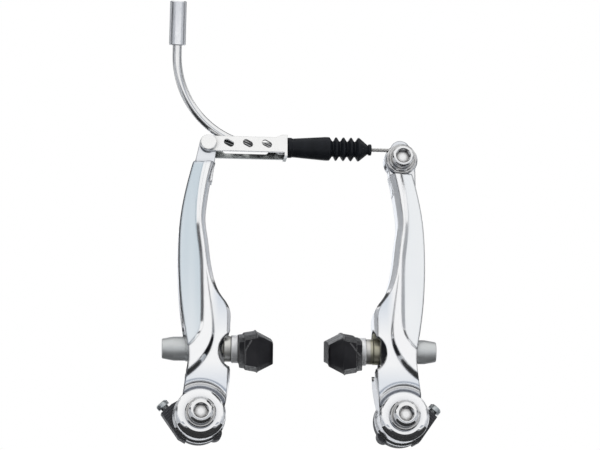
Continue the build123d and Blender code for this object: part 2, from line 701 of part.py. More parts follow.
def noodle_tube():
    return leaned(bent_pipe(TUBE_R, TUBE_BORE_R, NOSE_TIP_X, HEAD_START + 4.0))


def noodle_liner():
    return leaned(bent_pipe(TUBE_BORE_R - SEAT, LINER_BORE_R, NOSE_TIP_X - 0.3, HEAD_START + 4.0))


def noodle_head():
    z0 = HEAD_START
    z1 = z0 + HEAD_LENGTH
    shelf = z1 - HOUSING_BORE_DEPTH
    seat = z0 + 4.0 + SEAT
    points = [(TUBE_R + SEAT, z0), (HEAD_R - 0.3, z0), (HEAD_R, z0 + 0.3)]
    points += [(HEAD_R, z1 - 0.3), (HEAD_R - 0.3, z1), (HOUSING_BORE_R, z1), (HOUSING_BORE_R, shelf)]
    points += [(LINER_BORE_R, shelf), (LINER_BORE_R, seat), (TUBE_R + SEAT, seat)]
    head = revolve(Plane.XZ * make_face(Polyline(*points, close=True)), Axis.Z)
    return leaned(Pos(NOODLE_RISER_X, 0, 0) * head)


def noodle_collar():
    """The shoulder that seats against the inside of the link's end wall."""
    x1 = LINK_WALL_X - LINK_SHEET - RUN
    x0 = x1 - 3.0
    hole = TUBE_R + SEAT
    points = [(x0, hole), (x0, COLLAR_R - 0.7), (x0 + 1.2, COLLAR_R), (x1, COLLAR_R), (x1, hole)]
    return leaned(turned_x(points))


def cable_boot():
    """A rubber bellows over the nose: a collar, a sleeve, four folds and a cone."""
    x0 = LINK_WALL_X + GAP
    k = BOOT_LENGTH / 32.5
    outer = [(0, 4.1), (1.5, 4.1), (1.7, 3.8), (14.6, 4.8), (16.3, 4.75), (17.2, 3.2), (17.8, 3.2)]
    for i in range(4):
        peak = 18.75 + 2.9 * i
        outer += [(peak - 0.3, 4.7), (peak + 0.3, 4.7)]
        if i < 3:
            outer += [(peak + 1.2, 3.2), (peak + 1.7, 3.2)]
    outer += [(31.2, 1.75), (31.3, 2.3), (32.5, 2.3)]
    inner = [(32.5, CABLE_R + 0.15), (31.0, CABLE_R + 0.15), (28.6, 2.3), (10.5, 2.3)]
    inner += [(10.0, TUBE_R + SEAT), (0, TUBE_R + SEAT)]
    return leaned(turned_x([(x0 + k * s, r) for s, r in outer + inner]))


def inner_cable():
    return Pos(0, MID_Y, LINK_HEIGHT) * cyl_x(CABLE_R, CABLE_START_X, CABLE_END_X)


def clamp_stack():
    """Front faces of the clamp plate and of the spring washer over the cable."""
    plate_back = MID_Y - CABLE_R - SEAT
    plate_front = plate_back - 1.3
    return plate_back, plate_front, plate_front - SEAT, plate_front - SEAT - 0.9


def clamp_plate():
    y0, y1 = clamp_stack()[:2]
    r = LUG_R - 0.5
    plate = turned_y([(BOLT_R + 0.15, y0), (r, y0), (r, y1 + 0.3), (r - 0.3, y1), (BOLT_R + 0.15, y1)])
    return Pos(CLAMP_X, 0, CLAMP_Z) * plate


def clamp_washer():
    y0, y1 = clamp_stack()[2:]
    r = LUG_R - 1.4
    ring = turned_y([(BOLT_R + 0.15, y0), (r, y0), (r, y1 + 0.25), (r - 0.25, y1), (BOLT_R + 0.15, y1)])
    return Pos(CLAMP_X, 0, CLAMP_Z) * ring


def clamp_bolt():
    seat = clamp_stack()[3] - SEAT
    reach = ARM_REAR_Y + 0.5 - seat
    bolt = hex_bolt(CLAMP_HEAD_R, CLAMP_HEAD_H, HEX_KEY, BOLT_R + 0.1, 1.2, BOLT_R, reach)
    return Pos(CLAMP_X, seat, CLAMP_Z) * bolt


pieces = {}
for side in ("left", "right"):
    local = {
        "arm": arm(side),
        "pivot_bush": pivot_bush(),
        "pivot_bolt": pivot_bolt(),
        "bolt_washer": bolt_washer(),
        "spring_housing": spring_housing(),
        "return_spring": return_spring(),
        "spring_stop": spring_stop(),
        "anchor_pin": anchor_pin(),
        "tension_screw": tension_screw(),
        "pad": pad(side),
        "pad_post": pad_post(side),
        "pad_spacer": pad_spacer(side),
        "inner_dome": dome_washer(inner_dome_back(side), inner_sphere_x(), 1, side),
        "inner_cup": cup_washer(SEAT_IN_X, inner_sphere_x(), 1, side),
        "outer_dome": dome_washer(nut_start(side) + SEAT, outer_sphere_x(), -1, side),
        "outer_cup": cup_washer(SEAT_OUT_X, outer_sphere_x(), -1, side),
        "pad_nut": pad_nut(side),
    }
    for name, piece in local.items():
        pieces[side + "_" + name] = place(piece, side)
pieces["link"] = link()
pieces["link_pin"] = link_pin()
pieces["noodle_tube"] = noodle_tube()
pieces["noodle_liner"] = noodle_liner()
pieces["noodle_head"] = noodle_head()
pieces["noodle_collar"] = noodle_collar()
pieces["cable_boot"] = cable_boot()
pieces["inner_cable"] = inner_cable()
pieces["clamp_plate"] = place(clamp_plate(), "right")
pieces["clamp_washer"] = place(clamp_washer(), "right")
pieces["clamp_bolt"] = place(clamp_bolt(), "right")

for name, piece in pieces.items():
    export_step(piece, os.path.join("parts", name + ".step"))
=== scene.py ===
from math import cos, pi, radians, sin

import bmesh
import bpy
from mathutils import Matrix, Vector

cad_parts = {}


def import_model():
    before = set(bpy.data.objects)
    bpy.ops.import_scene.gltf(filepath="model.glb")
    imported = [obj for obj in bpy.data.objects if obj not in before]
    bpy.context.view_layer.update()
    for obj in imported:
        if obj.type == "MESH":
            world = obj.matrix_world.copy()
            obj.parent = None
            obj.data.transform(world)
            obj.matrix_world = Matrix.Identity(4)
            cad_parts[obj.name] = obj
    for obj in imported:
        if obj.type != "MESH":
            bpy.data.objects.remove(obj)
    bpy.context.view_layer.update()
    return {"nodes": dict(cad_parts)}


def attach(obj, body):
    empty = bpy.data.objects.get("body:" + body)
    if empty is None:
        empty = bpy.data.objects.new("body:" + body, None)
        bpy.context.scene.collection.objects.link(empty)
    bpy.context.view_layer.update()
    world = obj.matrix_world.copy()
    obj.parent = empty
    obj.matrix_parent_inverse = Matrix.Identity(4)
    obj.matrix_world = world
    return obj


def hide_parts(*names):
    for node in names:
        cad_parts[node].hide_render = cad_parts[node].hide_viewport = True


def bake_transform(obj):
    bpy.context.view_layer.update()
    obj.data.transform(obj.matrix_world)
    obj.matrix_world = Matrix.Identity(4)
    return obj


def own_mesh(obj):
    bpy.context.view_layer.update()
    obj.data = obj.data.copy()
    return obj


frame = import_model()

MM = 0.001
X_AXIS = (1.0, 0.0, 0.0)
Y_AXIS = (0.0, 1.0, 0.0)
Z_AXIS = (0.0, 0.0, 1.0)
FRONT = (0.0, -1.0, 0.0)
DOWN = (0.0, 0.0, -1.0)
SIDES = {"left": -1, "right": 1}

# The part's own sizes, in millimetres, as its solids have them
HALF = 40.0  # a pivot axis from the middle
MID_Y = -12.0  # depth of the cable line
LINK_HEIGHT = 109.5  # height of the cable line
FRONT_TOP = Vector((0.0, -17.0, 101.0))  # the leaning front face of an arm, at its top
FRONT_LOW = Vector((0.0, -20.6, 12.0))  # the same at its foot
PANEL_DEPTH = 0.9  # the long panel is sunk into that face

# Camera, from the bosses, the link and the pads in the photograph
AIM = Vector((-0.00056, -0.012, 0.0775))
AZIMUTH = -5.5
ELEVATION = -14.0
DISTANCE = 0.9
FOCAL_PIXELS = 2246.0
PICTURE_WIDTH = 600
SENSOR_WIDTH = 36.0
NEAREST = 0.01

# Settings of the texture nodes
NOISE_LOW = 0.3  # most of a noise lies between these two
NOISE_HIGH = 0.7
WAVE_LENGTH = 0.31  # a wave texture repeats about this far apart at a scale of 1
WAVE_DETAIL = 2.0
EDGE_TURN = 0.12  # how far a softened normal turns, as a lost cosine, where an edge counts in full
TRACE_SAMPLES = 6  # for the nodes that look round corners


def rgba(colour):
    return (*colour, 1.0)


class Finish:
    """A procedural material: a Principled shader fed by textures laid out in the part's own metres."""

    def __init__(self, name, colour, roughness, metallic=0.0, sockets=None):
        self.material = bpy.data.materials.new(name)
        self.material.use_nodes = True
        self.tree = self.material.node_tree
        self.shader = self.tree.nodes["Principled BSDF"]
        self.colour = rgba(colour)
        self.normal = None
        self.put(self.shader, {"Base Color": self.colour, "Roughness": roughness, "Metallic": metallic})
        self.put(self.shader, sockets or {})
        self.place = self.add("ShaderNodeTexCoord").outputs["Object"]

    def feed(self, socket, value):
        """Links another node's output to a socket, or sets a plain value there."""
        if isinstance(value, bpy.types.NodeSocket):
            self.tree.links.new(value, socket)
        else:
            socket.default_value = value

    def put(self, node, values):
        for name, value in values.items():
            self.feed(node.inputs[name], value)

    def add(self, kind, values=None, **settings):
        node = self.tree.nodes.new(kind)
        for name, value in settings.items():
            setattr(node, name, value)
        self.put(node, values or {})
        return node

    def math(self, operation, a, b=0.0):
        return self.add("ShaderNodeMath", {0: a, 1: b}, operation=operation).outputs[0]

    def product(self, first, *others):
        for other in others:
            first = self.math("MULTIPLY", first, other)
        return first

    def dot(self, a, b):
        node = self.add("ShaderNodeVectorMath", {0: a, 1: b}, operation="DOT_PRODUCT")
        return node.outputs["Value"]

    def span(self, value, low, high, low_in=NOISE_LOW, high_in=NOISE_HIGH):
        """A value mapped from one range to another, and held within it."""
        values = {"Value": value, "From Min": low_in, "From Max": high_in, "To Min": low, "To Max": high}
        return self.add("ShaderNodeMapRange", values).outputs[0]

    def mix(self, factor, under, over):
        node = self.add("ShaderNodeMix", data_type="RGBA")
        sockets = {socket.name: socket for socket in node.inputs if socket.enabled}
        for name, value in {"Factor": factor, "A": under, "B": over}.items():
            self.feed(sockets[name], value)
        return [socket for socket in node.outputs if socket.enabled][0]

    def noise(self, size, detail=3.0, stretch=None):
        """Cloudy variation with features of about this size in metres, drawn out where stretch is small."""
        place = self.place
        if stretch:
            place = self.add("ShaderNodeMapping", {"Vector": place, "Scale": stretch}).outputs[0]
        values = {"Vector": place, "Scale": 1.0 / size, "Detail": detail}
        return self.add("ShaderNodeTexNoise", values).outputs[0]

    def lines(self, size, axis, wander=0.0):
        """Fine parallel lines this far apart along an axis."""
        scale = WAVE_LENGTH / size
        values = {"Vector": self.place, "Scale": scale, "Distortion": wander, "Detail": WAVE_DETAIL}
        return self.add("ShaderNodeTexWave", values, bands_direction=axis).outputs[1]

    def along(self, direction):
        """Distance in metres along a direction of the part."""
        return self.dot(self.place, direction)

    def aside(self):
        """Distance in metres from the middle of the part, to either side."""
        return self.math("ABSOLUTE", self.along(X_AXIS))

    def from_pivot(self):
        """Distance in metres from the nearer pivot axis."""
        across = self.math("SUBTRACT", self.aside(), HALF * MM)
        up = self.along(Z_AXIS)
        return self.math("SQRT", self.math("ADD", self.product(across, across), self.product(up, up)))

    def near_plane(self, direction, distance, reach):
        """1 within a reach of a plane, 0 elsewhere."""
        off_plane = self.math("ABSOLUTE", self.math("SUBTRACT", self.along(direction), distance))
        return self.math("LESS_THAN", off_plane, reach)

    def facing(self, direction):
        """How far the surface faces a direction: 1 straight on, -1 straight away."""
        return self.dot(self.add("ShaderNodeNewGeometry").outputs["Normal"], direction)

    def rounded_normal(self, radius):
        return self.add("ShaderNodeBevel", {"Radius": radius}, samples=TRACE_SAMPLES).outputs[0]

    def edges(self, radius):
        """1 along the part's edges, 0 on its faces."""
        return self.span(self.facing(self.rounded_normal(radius)), 1.0, 0.0, 1.0 - EDGE_TURN, 1.0)

    def tint(self, factor, colour):
        """Lays another colour over the present one where the factor is high."""
        self.colour = self.mix(factor, self.colour, rgba(colour))
        self.put(self.shader, {"Base Color": self.colour})

    def tint_patches(self, noise, most, colour):
        self.tint(self.span(noise, 0.0, most), colour)

    # Painted light and shade along the edges: a colour laid over them for the reflections and highlights
    # that they catch
    def paint_edge_shading(self, radius, most, colour, start=0.1):
        self.tint(self.span(self.edges(radius), 0.0, most, start, 1.0), colour)

    def paint_hollow_shade(self, reach, most, colour, shut=0.35, clear=0.9):
        """Paints shade into deep corners and sockets, where little of the open air is within reach."""
        air = self.add("ShaderNodeAmbientOcclusion", {"Distance": reach}, samples=TRACE_SAMPLES)
        self.tint(self.span(air.outputs["AO"], most, 0.0, shut, clear), colour)

    def rough(self, value, low, high):
        self.put(self.shader, {"Roughness": self.span(value, low, high)})

    def soften_edges(self, radius):
        self.normal = self.rounded_normal(radius)
        self.put(self.shader, {"Normal": self.normal})

    def bump(self, height, depth, strength=1.0):
        values = {"Height": height, "Distance": depth, "Strength": strength}
        if self.normal:
            values["Normal"] = self.normal
        self.normal = self.add("ShaderNodeBump", values).outputs[0]
        self.put(self.shader, {"Normal": self.normal})


# Painted reflection: the long panel on the front of each arm is tinted bluer than the rest, for the darker
# studio that it mirrors, and less so on the right arm
PANEL_FACING = Vector(X_AXIS).cross(FRONT_TOP - FRONT_LOW).normalized()
PANEL_AT = (PANEL_FACING.dot(FRONT_LOW) - PANEL_DEPTH) * MM
PANEL_NEAR = 0.22 * MM
PANEL_OUT = 37.5 * MM  # the panel lies outside this distance from the middle
PANEL_RIGHT = 0.25  # strength on the right arm, with 1 on the left one
PANEL_BETWEEN = 30.0 * MM  # no panel is nearer to the middle, so the strength changes here
PANEL_HEIGHTS = (35.0 * MM, 100.0 * MM)
PANEL_SHADES = (0.82, 1.15)  # strength at these heights
PANEL_STREAKS = (0.55, 1.1)  # strength in its faint upright streaks
PANEL_PAINTED_REFLECTION = (0.57, 0.645, 0.7)


def panel_painted_reflection(coat):
    on_plane = coat.near_plane(PANEL_FACING, PANEL_AT, PANEL_NEAR)
    outside = coat.math("GREATER_THAN", coat.aside(), PANEL_OUT)
    side = coat.span(coat.along(X_AXIS), 1.0, PANEL_RIGHT, -PANEL_BETWEEN, PANEL_BETWEEN)
    height = coat.span(coat.along(Z_AXIS), *PANEL_SHADES, *PANEL_HEIGHTS)
    streak = coat.span(coat.noise(9 * MM, detail=1.0, stretch=(1, 1, 0.12)), *PANEL_STREAKS)
    return coat.product(on_plane, outside, side, height, streak)


# Painted reflection: the lower front face is tinted bluer at its shoulder, inboard of the crease, and just
# above the barrel
BASE_AT = 18.78 * MM
BASE_NEAR = 0.2 * MM
BASE_INSIDE = 36.3 * MM
BASE_FADE = 3.0 * MM
SHOULDER_HEIGHTS = (31.0 * MM, 46.0 * MM)
SHOULDER_SHADE = 0.9
FOOT_HEIGHTS = (13.0 * MM, 20.0 * MM)
FOOT_SHADE = 0.6
BASE_PAINTED_REFLECTION = (0.62, 0.67, 0.74)


def base_painted_reflection(coat):
    on_plane = coat.near_plane(FRONT, BASE_AT, BASE_NEAR)
    inside = coat.span(coat.aside(), 1.0, 0.0, BASE_INSIDE - BASE_FADE, BASE_INSIDE)
    up = coat.along(Z_AXIS)
    shoulder = coat.product(inside, coat.span(up, 0.0, SHOULDER_SHADE, *SHOULDER_HEIGHTS))
    foot = coat.span(up, FOOT_SHADE, 0.0, *FOOT_HEIGHTS)
    return coat.product(on_plane, coat.math("MAXIMUM", shoulder, foot))


# Painted shade: the thin heads above the front faces, under the link, are tinted a darker grey
HEAD_HEIGHTS = (100.5 * MM, 101.5 * MM)
HEAD_SHADE = 0.6
HEAD_PAINTED_SHADE = (0.66, 0.69, 0.74)


def head_painted_shade(coat):
    return coat.span(coat.along(Z_AXIS), 0.0, HEAD_SHADE, *HEAD_HEIGHTS)


# Painted reflection: the outer edge of each arm, above its barrel, is tinted dark for the dark of the
# studio that it mirrors
OUTER_EDGE_FROM = 42.5 * MM
OUTER_EDGE_FOOT = 20.0 * MM
OUTER_EDGE_WIDE = 1.2 * MM
OUTER_EDGE_SHADE = 0.85
OUTER_EDGE_STEP = (0.1, 0.8)  # strength of the edge at which the tint starts and is full
OUTER_EDGE_PAINTED_REFLECTION = (0.1, 0.11, 0.13)


def outer_edge_painted_reflection(coat):
    outside = coat.math("GREATER_THAN", coat.aside(), OUTER_EDGE_FROM)
    above = coat.math("GREATER_THAN", coat.along(Z_AXIS), OUTER_EDGE_FOOT)
    edge = coat.product(coat.edges(OUTER_EDGE_WIDE), outside, above)
    return coat.span(edge, 0.0, OUTER_EDGE_SHADE, *OUTER_EDGE_STEP)


# The polished rim of each barrel falls away from the lower half of its face
DISH_RADII = (7.4 * MM, 9.1 * MM)
DISH_DEPTH = 0.9 * MM
DISH_TURN = (0.45, 0.8)  # the cosine from straight down at which it starts and is full


def dish(coat):
    """0 on a barrel's face, -1 beyond its lower rim."""
    reach = coat.from_pivot()
    below = coat.math("DIVIDE", coat.along(DOWN), reach)
    return coat.product(coat.span(reach, 0.0, -1.0, *DISH_RADII), coat.span(below, 0.0, 1.0, *DISH_TURN))


def polished_alloy():
    coat = Finish("polished_alloy", colour=(0.89, 0.893, 0.9), roughness=0.08, metallic=1.0)
    coat.soften_edges(0.9 * MM)
    cloud = coat.noise(14 * MM)
    coat.rough(cloud, low=0.07, high=0.13)
    coat.tint_patches(cloud, most=0.3, colour=(0.82, 0.84, 0.87))
    # Painted reflection on the sunk panel
    coat.tint(panel_painted_reflection(coat), PANEL_PAINTED_REFLECTION)
    # Painted reflection on the lower front face
    coat.tint(base_painted_reflection(coat), BASE_PAINTED_REFLECTION)
    # Painted shade on the heads under the link
    coat.tint(head_painted_shade(coat), HEAD_PAINTED_SHADE)
    # Painted shade in the hollows, and painted dark reflections along the edges
    coat.paint_hollow_shade(2.5 * MM, most=0.5, colour=(0.32, 0.34, 0.38))
    coat.paint_edge_shading(0.75 * MM, most=0.8, colour=(0.12, 0.13, 0.15), start=0.15)
    # Painted dark reflection on the outer edge
    coat.tint(outer_edge_painted_reflection(coat), OUTER_EDGE_PAINTED_REFLECTION)
    coat.bump(dish(coat), DISH_DEPTH)
    coat.bump(coat.noise(9 * MM, detail=1.0), depth=0.03 * MM)
    coat.bump(coat.noise(0.4 * MM, detail=2.0, stretch=(1, 1, 0.08)), depth=0.0015 * MM)
    return coat.material


def bright_steel():
    coat = Finish("bright_steel", colour=(0.82, 0.822, 0.825), roughness=0.12, metallic=1.0)
    coat.soften_edges(0.25 * MM)
    coat.rough(coat.noise(5 * MM), low=0.08, high=0.18)
    # Painted shade in the hollows, and painted dark reflections along the edges
    coat.paint_hollow_shade(1.8 * MM, most=0.9, colour=(0.06, 0.055, 0.05), shut=0.5, clear=0.95)
    coat.paint_edge_shading(0.5 * MM, most=0.75, colour=(0.08, 0.08, 0.085))
    coat.bump(coat.noise(0.5 * MM), depth=0.002 * MM)
    return coat.material


# Painted shade: where the noodle's tube passes through the link it is darkened, with its slanted ridges
# left as paler lines
LINK_SHADE_HEIGHTS = (111.6 * MM, 112.4 * MM)  # it comes out at the top between these heights
RIDGE_ACROSS = (0.47, 0.0, 0.88)
RIDGE_HALF = 0.45 * MM
RIDGE_RISE = (0.12 * MM, 0.3 * MM)
RIDGE_SHADES = (0.55, 1.0)


def noodle_steel():
    coat = Finish("noodle_steel", colour=(0.82, 0.822, 0.825), roughness=0.12, metallic=1.0)
    coat.rough(coat.noise(5 * MM), low=0.08, high=0.18)
    # Painted shade inside the link
    inside = coat.span(coat.along(Z_AXIS), 1.0, 0.0, *LINK_SHADE_HEIGHTS)
    slant = coat.math("PINGPONG", coat.along(RIDGE_ACROSS), RIDGE_HALF)
    ridge = coat.span(slant, *RIDGE_SHADES, *RIDGE_RISE)
    coat.tint(coat.product(inside, ridge), (0.05, 0.05, 0.052))
    coat.bump(coat.noise(0.5 * MM), depth=0.002 * MM)
    return coat.material


LINK_REAR = ((MID_Y - 2.0) * MM, (MID_Y - 1.0) * MM)  # the link's rear plate lies behind these depths


def link_steel():
    """Bright in front; the rear plate is darkened with painted shade."""
    coat = Finish("link_steel", colour=(0.88, 0.88, 0.875), roughness=0.2, metallic=1.0)
    coat.soften_edges(0.25 * MM)
    coat.rough(coat.noise(4 * MM), low=0.16, high=0.28)
    # Painted shade on the rear plate and in the hollows, and painted dark reflections along the edges
    rear = coat.span(coat.along(Y_AXIS), 0.0, 1.0, *LINK_REAR)
    coat.tint(rear, (0.45, 0.465, 0.455))
    coat.paint_hollow_shade(2.0 * MM, most=0.7, colour=(0.12, 0.12, 0.12))
    coat.paint_edge_shading(0.3 * MM, most=0.55, colour=(0.2, 0.2, 0.2))
    coat.bump(coat.noise(0.4 * MM), depth=0.004 * MM)
    return coat.material


def dark_zinc():
    coat = Finish("dark_zinc", colour=(0.5, 0.53, 0.54), roughness=0.26, metallic=1.0)
    coat.soften_edges(0.2 * MM)
    coat.rough(coat.noise(2 * MM), low=0.2, high=0.34)
    # Painted shade in the hollows
    coat.paint_hollow_shade(1.2 * MM, most=0.8, colour=(0.06, 0.06, 0.06))
    coat.bump(coat.noise(0.3 * MM), depth=0.006 * MM)
    return coat.material


def plain_steel():
    coat = Finish("plain_steel", colour=(0.55, 0.56, 0.57), roughness=0.3, metallic=1.0)
    coat.soften_edges(0.15 * MM)
    coat.rough(coat.noise(3 * MM), low=0.24, high=0.4)
    coat.tint(coat.noise(6 * MM), (0.45, 0.45, 0.46))
    coat.bump(coat.noise(0.3 * MM), depth=0.006 * MM)
    return coat.material


def spring_steel():
    coat = Finish("spring_steel", colour=(0.42, 0.42, 0.44), roughness=0.28, metallic=1.0)
    coat.rough(coat.noise(2 * MM), low=0.2, high=0.36)
    coat.bump(coat.noise(0.25 * MM, detail=2.0, stretch=(1, 1, 0.1)), depth=0.006 * MM)
    return coat.material


def black_plastic():
    """Moulded, with faint slanted ribs in its surface."""
    gloss = {"Specular IOR Level": 0.25}
    coat = Finish("black_plastic", colour=(0.034, 0.035, 0.04), roughness=0.42, sockets=gloss)
    coat.soften_edges(0.3 * MM)
    coat.rough(coat.noise(4 * MM), low=0.36, high=0.5)
    # Painted highlights along the edges
    coat.paint_edge_shading(0.25 * MM, most=0.4, colour=(0.2, 0.2, 0.21), start=0.0)
    coat.bump(coat.lines(1.1 * MM, "DIAGONAL"), depth=0.1 * MM, strength=0.5)
    coat.bump(coat.noise(0.18 * MM, detail=2.0), depth=0.012 * MM)
    return coat.material


# Painted light: the upper and lower faces of a pad are paler, as they catch the light, and above most on
# the side of the rim
LEVEL_TURN = (0.3, 0.75)  # how far a face looks up or down where this starts and is full
RIM_TURN = (0.0, 0.4)  # how far it looks towards the rim, from the weaker to the stronger shade
RIM_SHADES = (0.3, 1.0)
MIDDLE = 1.0 * MM  # the pads lie on both sides of this strip


def level_painted_light(coat):
    up = coat.facing(Z_AXIS)
    start, full = LEVEL_TURN
    towards_rim = coat.span(coat.along(X_AXIS), 1.0, -1.0, -MIDDLE, MIDDLE)
    inward = coat.product(coat.facing(X_AXIS), towards_rim)
    top = coat.product(coat.span(up, 0.0, 1.0, start, full), coat.span(inward, *RIM_SHADES, *RIM_TURN))
    return coat.math("MAXIMUM", top, coat.span(up, 1.0, 0.0, -full, -start))


def pad_rubber():
    gloss = {"Specular IOR Level": 0.16}
    coat = Finish("pad_rubber", colour=(0.006, 0.006, 0.008), roughness=0.5, sockets=gloss)
    coat.soften_edges(0.6 * MM)
    coat.rough(coat.noise(3 * MM), low=0.4, high=0.6)
    # Painted light on the faces that look up and down, in fine streaks
    streaks = coat.span(coat.noise(0.5 * MM, detail=1.0, stretch=(1, 0.06, 1)), 0.35, 1.0)
    coat.tint(coat.product(level_painted_light(coat), streaks), (0.24, 0.245, 0.25))
    # Painted highlights along the edges between the facets
    coat.paint_edge_shading(0.3 * MM, most=0.7, colour=(0.24, 0.24, 0.245), start=0.2)
    coat.tint_patches(coat.noise(7 * MM), most=0.25, colour=(0.04, 0.04, 0.044))
    coat.bump(coat.noise(0.35 * MM, detail=4.0), depth=0.02 * MM)
    return coat.material


def boot_rubber():
    gloss = {"Specular IOR Level": 0.14}
    coat = Finish("boot_rubber", colour=(0.005, 0.006, 0.008), roughness=0.34, sockets=gloss)
    coat.rough(coat.noise(3 * MM), low=0.28, high=0.42)
    coat.tint_patches(coat.noise(5 * MM), most=0.25, colour=(0.025, 0.028, 0.036))
    coat.bump(coat.noise(0.3 * MM), depth=0.008 * MM)
    return coat.material


OLIVE_FROM = (26.6 * MM, 27.4 * MM)  # the washers beyond this, next to the right arm, are olive
WORN_SHADE = 0.85


def olive_zinc():
    """Passivated washers: olive next to the right arm, nearly worn to steel elsewhere."""
    coat = Finish("olive_zinc", colour=(0.52, 0.5, 0.38), roughness=0.26, metallic=1.0)
    coat.soften_edges(0.15 * MM)
    coat.rough(coat.noise(2 * MM), low=0.36, high=0.5)
    coat.tint(coat.noise(3 * MM), (0.42, 0.41, 0.33))
    worn = coat.span(coat.along(X_AXIS), WORN_SHADE, 0.0, *OLIVE_FROM)
    coat.tint(worn, (0.78, 0.77, 0.75))
    # Painted shade in the hollows
    coat.paint_hollow_shade(1.5 * MM, most=0.8, colour=(0.08, 0.07, 0.05))
    coat.bump(coat.lines(0.3 * MM, "X", wander=0.6), depth=0.004 * MM)
    return coat.material


def grey_zinc():
    coat = Finish("grey_zinc", colour=(0.64, 0.655, 0.655), roughness=0.45, metallic=0.85)
    coat.soften_edges(0.3 * MM)
    turning = coat.lines(0.28 * MM, "X", wander=0.6)
    coat.rough(turning, low=0.4, high=0.52)
    coat.tint(coat.span(turning, 0.0, 0.5, 0.0, 1.0), (0.52, 0.54, 0.545))
    coat.bump(turning, depth=0.01 * MM)
    return coat.material


def satin_alloy():
    coat = Finish("satin_alloy", colour=(0.86, 0.865, 0.87), roughness=0.45, metallic=0.75)
    coat.soften_edges(0.25 * MM)
    brushing = coat.noise(0.5 * MM, detail=2.0, stretch=(1, 1, 0.05))
    coat.rough(brushing, low=0.4, high=0.55)
    coat.tint_patches(brushing, most=0.4, colour=(0.74, 0.745, 0.76))
    coat.bump(brushing, depth=0.004 * MM)
    return coat.material


def head_alloy():
    """The noodle's head: turned, brighter than the spacers."""
    coat = Finish("head_alloy", colour=(0.87, 0.88, 0.9), roughness=0.22, metallic=1.0)
    coat.soften_edges(0.25 * MM)
    cloud = coat.noise(4 * MM)
    coat.rough(cloud, low=0.18, high=0.27)
    coat.tint_patches(cloud, most=0.35, colour=(0.76, 0.78, 0.82))
    coat.bump(coat.noise(1.5 * MM), depth=0.004 * MM)
    return coat.material


def liner_plastic():
    coat = Finish("liner_plastic", colour=(0.75, 0.75, 0.73), roughness=0.45)
    coat.rough(coat.noise(2 * MM), low=0.4, high=0.55)
    coat.tint_patches(coat.noise(3 * MM), most=0.4, colour=(0.66, 0.66, 0.63))
    coat.bump(coat.noise(0.3 * MM), depth=0.006 * MM)
    return coat.material


def cable_steel():
    coat = Finish("cable_steel", colour=(0.62, 0.62, 0.62), roughness=0.25, metallic=1.0)
    coat.rough(coat.noise(1.5 * MM), low=0.2, high=0.36)
    coat.tint(coat.noise(2 * MM), (0.5, 0.49, 0.47))
    coat.bump(coat.noise(0.1 * MM), depth=0.004 * MM)
    return coat.material


FINISHES = [polished_alloy, bright_steel, noodle_steel, link_steel, dark_zinc, plain_steel, spring_steel]
FINISHES += [black_plastic, pad_rubber, boot_rubber, olive_zinc, grey_zinc, satin_alloy, head_alloy]
FINISHES += [liner_plastic, cable_steel]
MATERIALS = {make.__name__: make() for make in FINISHES}

# Which finish each node has, by its name without its side
NODE_FINISH = {
    "arm": "polished_alloy",
    "pivot_bolt": "bright_steel",
    "bolt_washer": "bright_steel",
    "pivot_bush": "plain_steel",
    "spring_housing": "black_plastic",
    "spring_stop": "plain_steel",
    "anchor_pin": "plain_steel",
    "return_spring": "spring_steel",
    "tension_screw": "dark_zinc",
    "pad": "pad_rubber",
    "pad_post": "plain_steel",
    "pad_spacer": "satin_alloy",
    "inner_dome": "olive_zinc",
    "inner_cup": "olive_zinc",
    "outer_dome": "grey_zinc",
    "outer_cup": "grey_zinc",
    "pad_nut": "grey_zinc",
    "link": "link_steel",
    "link_pin": "link_steel",
    "noodle_tube": "noodle_steel",
    "noodle_liner": "liner_plastic",
    "noodle_head": "head_alloy",
    "noodle_collar": "satin_alloy",
    "cable_boot": "boot_rubber",
    "inner_cable": "cable_steel",
    "clamp_plate": "bright_steel",
    "clamp_washer": "bright_steel",
    "clamp_bolt": "bright_steel",
}


def kind_of(name):
    side, _, kind = name.partition("_")
    return kind if side in SIDES else name


def dress(obj, finish):
    obj.data.materials.clear()
    obj.data.materials.append(MATERIALS[finish])


for name, obj in frame["nodes"].items():
    dress(obj, NODE_FINISH[kind_of(name)])


# Shared by the mesh pieces below, whose sizes are in millimetres
SHARP = 38.0  # degrees between faces that leave a crisp edge
EASE_SHARE = 0.49  # the most of an outline's side that one rounded corner takes
FINE_SIDES = 8  # sides of a thin round wire


def at_side(side, inboard, depth, height):
    """A point given from the pivot axis of one side."""
    return Vector((SIDES[side] * (HALF - inboard), depth, height))


def corner_cut(before, corner, after, radius, steps):
    """A corner of an outline, eased by a short curve."""
    back = before - corner
    ahead = after - corner
    reach = min(radius, EASE_SHARE * back.length, EASE_SHARE * ahead.length)
    start = corner + back.normalized() * reach
    end = corner + ahead.normalized() * reach
    points = []
    for i in range(steps + 1):
        t = i / steps
        points.append(start * (1 - t) ** 2 + corner * (2 * t * (1 - t)) + end * t**2)
    return points


def eased(points, radius, steps, closed=True):
    """An outline with each corner rounded."""
    corners = [Vector(point) for point in points]
    last = len(corners)
    out = []
    for i, corner in enumerate(corners):
        if not closed and i in (0, last - 1):
            out.append(corner)
        else:
            out += corner_cut(corners[i - 1], corner, corners[(i + 1) % last], radius, steps)
    return out


def mesh_piece(name, points, faces, finish):
    """A mesh piece from points in millimetres, facing outwards, smooth but for its sharp corners."""
    data = bpy.data.meshes.new(name)
    data.from_pydata([Vector(point) * MM for point in points], [], faces)
    shape = bmesh.new()
    shape.from_mesh(data)
    bmesh.ops.recalc_face_normals(shape, faces=shape.faces)
    shape.to_mesh(data)
    shape.free()
    data.shade_smooth()
    data.set_sharp_from_angle(angle=radians(SHARP))
    obj = bpy.data.objects.new(name, data)
    bpy.context.scene.collection.objects.link(obj)
    dress(obj, finish)
    return obj


